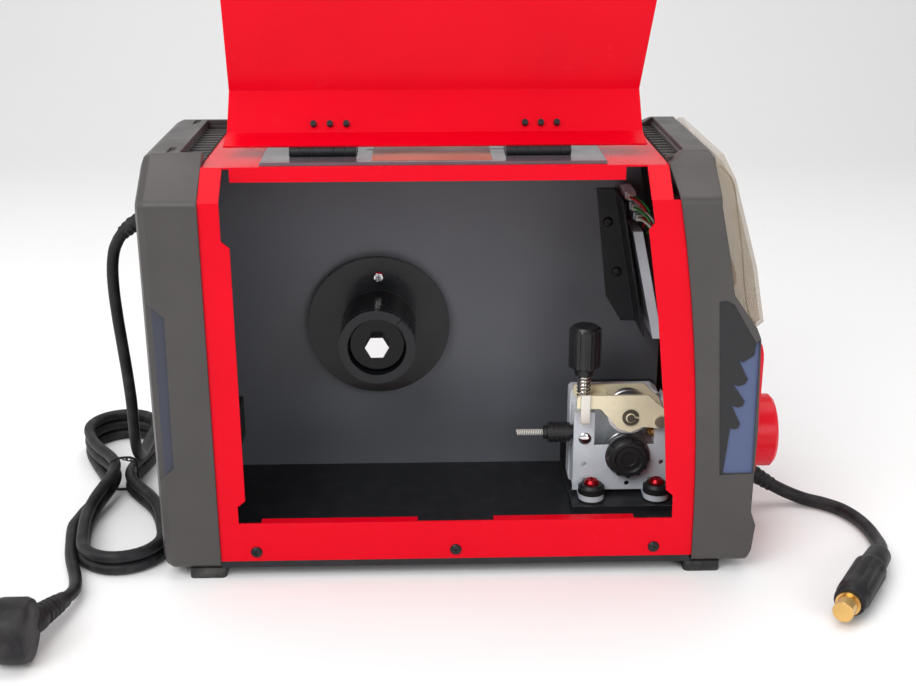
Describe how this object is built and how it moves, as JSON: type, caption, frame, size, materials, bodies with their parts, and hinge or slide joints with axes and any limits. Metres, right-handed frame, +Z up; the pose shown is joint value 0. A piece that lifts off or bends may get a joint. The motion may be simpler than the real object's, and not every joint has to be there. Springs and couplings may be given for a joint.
{
  "type": "mig welding machine",
  "caption": "Compact wire-feed welding machine with an open side lid, spool hub, wire feeder, front sockets, polarity lead and mains cord.",
  "frame": {"origin": "centre of the box round the machine without its free cords, on the surface it stands on", "axes": "+X to the front with the control panel and torch socket, -Y to the side with the open wire compartment, +Z up"},
  "size_m": [0.571, 0.3405, 0.5105],
  "materials": {
    "red_paint": "glossy powder coat",
    "red_plastic": "glossy moulded plastic",
    "charcoal_plastic": "satin moulded plastic",
    "black_sheet": "satin powder coat",
    "console_black": "glossy paint",
    "rubber": "matt rubber",
    "cord_rubber": "satin cable sheath",
    "black_screw": "black oxide",
    "black_plastic": "satin moulded plastic",
    "hub_plastic": "glossy moulded plastic",
    "steel": "machined steel",
    "chrome": "bright plated steel",
    "die_cast": "as cast",
    "zinc_yellow": "yellow zinc plate",
    "red_fasteners": "red lacquered screws",
    "motor": "satin paint",
    "brass": "machined brass",
    "knob_red": "glossy moulded plastic",
    "visor": "clear smoke plastic",
    "board_green": "solder mask"
  },
  "bodies": {
    "machine": {"side_frame": "red_paint", "top_cover": "red_paint", "far_side_panel": "red_paint", "front_panel": "red_plastic", "red_collars": "red_plastic", "rear_bezel": "charcoal_plastic", "front_bezel": "charcoal_plastic", "base_pan": "black_sheet", "divider_plate": "black_sheet", "compartment_floor": "black_sheet", "rear_panel": "black_sheet", "feeder_bracket": "black_sheet", "bay_cover": "black_sheet", "hinge_console": "console_black", "feet": "rubber", "insulating_bushes": "rubber", "polarity_plug": "rubber", "mains_plug": "rubber", "polarity_lead": "cord_rubber", "mains_cord": "cord_rubber", "mains_hank": "cord_rubber", "frame_screws": "black_screw", "hinge_base_leaves": "black_screw", "inlet_guide": "black_plastic", "cable_glands": "black_plastic", "fan_frame": "black_plastic", "output_sockets": "black_plastic", "control_panel": "black_plastic", "terminal_block": "black_plastic", "spool_axle": "steel", "brake_spring": "chrome", "feeder_body": "die_cast", "feeder_fasteners": "red_fasteners", "feed_motor": "motor", "transformer": "motor", "outlet_guide": "brass", "torch_socket": "brass", "polarity_pin": "brass", "gas_valve": "brass", "power_board": "board_green"},
    "lid": {"lid": "red_paint", "hinge_lid_leaves": "black_screw"},
    "lid_latch": {"lid_latch": "black_plastic"},
    "spool_hub": {"spool_hub": "hub_plastic", "flange_screw": "chrome"},
    "brake_bolt": {"brake_bolt": "chrome"},
    "drive_roller": {"drive_roller": "steel", "drive_roller_cap": "black_plastic"},
    "pressure_arm": {"pressure_arm": "zinc_yellow", "roller_pin": "steel"},
    "pressure_roller": {"pressure_roller": "steel"},
    "tension_stud": {"tension_stud": "zinc_yellow", "tension_spring": "chrome"},
    "tension_knob": {"tension_knob": "black_plastic"},
    "voltage_knob": {"voltage_knob": "knob_red"},
    "speed_knob": {"speed_knob": "knob_red"},
    "gas_button": {"gas_button": "knob_red"},
    "clear_visor": {"clear_visor": "visor"},
    "power_switch": {"power_switch": "black_plastic"},
    "fan_rotor": {"fan_rotor": "black_plastic"}
  },
  "joints": [
    {"name": "lid_hinge", "type": "hinge", "parent": "machine", "child": "lid", "pos_m": [0, -0.0461, 0.265], "axis": [1, 0, 0], "range_deg": [0, 166.8]},
    {"name": "lid_latch_turn", "type": "hinge", "parent": "lid", "child": "lid_latch", "pos_m": [-0.009, -0.04953, 0.485], "axis": [0, -0.9736, -0.2283], "range_deg": [0, 90]},
    {"name": "spool_hub_spin", "type": "hinge", "parent": "machine", "child": "spool_hub", "pos_m": [-0.0591, 0, 0.128], "axis": [0, 1, 0], "continuous": true},
    {"name": "brake_bolt_turn", "type": "hinge", "parent": "machine", "child": "brake_bolt", "pos_m": [-0.0591, 0, 0.128], "axis": [0, 1, 0], "range_deg": [-720, 720]},
    {"name": "drive_roller_spin", "type": "hinge", "parent": "machine", "child": "drive_roller", "pos_m": [0.109, -0.017, 0.052], "axis": [0, 1, 0], "continuous": true},
    {"name": "tension_swing", "type": "hinge", "parent": "machine", "child": "tension_stud", "pos_m": [0.0786, -0.017, 0.077], "axis": [0, -1, 0], "range_deg": [0, 75]},
    {"name": "pressure_arm_lift", "type": "hinge", "parent": "machine", "child": "pressure_arm", "pos_m": [0.129, -0.017, 0.079], "axis": [0, 1, 0], "range_deg": [0, 6]},
    {"name": "pressure_roller_spin", "type": "hinge", "parent": "pressure_arm", "child": "pressure_roller", "pos_m": [0.109, -0.017, 0.082], "axis": [0, 1, 0], "continuous": true},
    {"name": "tension_knob_turn", "type": "hinge", "parent": "tension_stud", "child": "tension_knob", "pos_m": [0.0786, -0.017, 0.12], "axis": [0, 0, 1], "range_deg": [-360, 360]},
    {"name": "voltage_knob_turn", "type": "hinge", "parent": "machine", "child": "voltage_knob", "pos_m": [0.15451, -0.046, 0.1856], "axis": [0.9799, 0, 0.1994], "range_deg": [-135, 135]},
    {"name": "speed_knob_turn", "type": "hinge", "parent": "machine", "child": "speed_knob", "pos_m": [0.15451, 0.046, 0.1856], "axis": [0.9799, 0, 0.1994], "range_deg": [-135, 135]},
    {"name": "gas_button_press", "type": "slide", "parent": "machine", "child": "gas_button", "axis": [-0.9799, 0, -0.1994], "range_m": [0, 0.002], "stiffness_N_per_m": 250},
    {"name": "visor_hinge", "type": "hinge", "parent": "machine", "child": "clear_visor", "pos_m": [0.149, 0, 0.2634], "axis": [0, -1, 0], "range_deg": [0, 100]},
    {"name": "power_switch_rock", "type": "hinge", "parent": "machine", "child": "power_switch", "pos_m": [-0.1901, -0.03, 0.205], "axis": [0, 1, 0], "range_deg": [0, 16]},
    {"name": "fan_spin", "type": "hinge", "parent": "machine", "child": "fan_rotor", "pos_m": [-0.18, 0.0635, 0.145], "axis": [1, 0, 0], "continuous": true}
  ],
  "couplings": [
    {"joint": "pressure_arm_lift", "follows": "tension_swing", "ratio": 0.08},
    {"joint": "pressure_roller_spin", "follows": "drive_roller_spin", "ratio": -1}
  ]
}
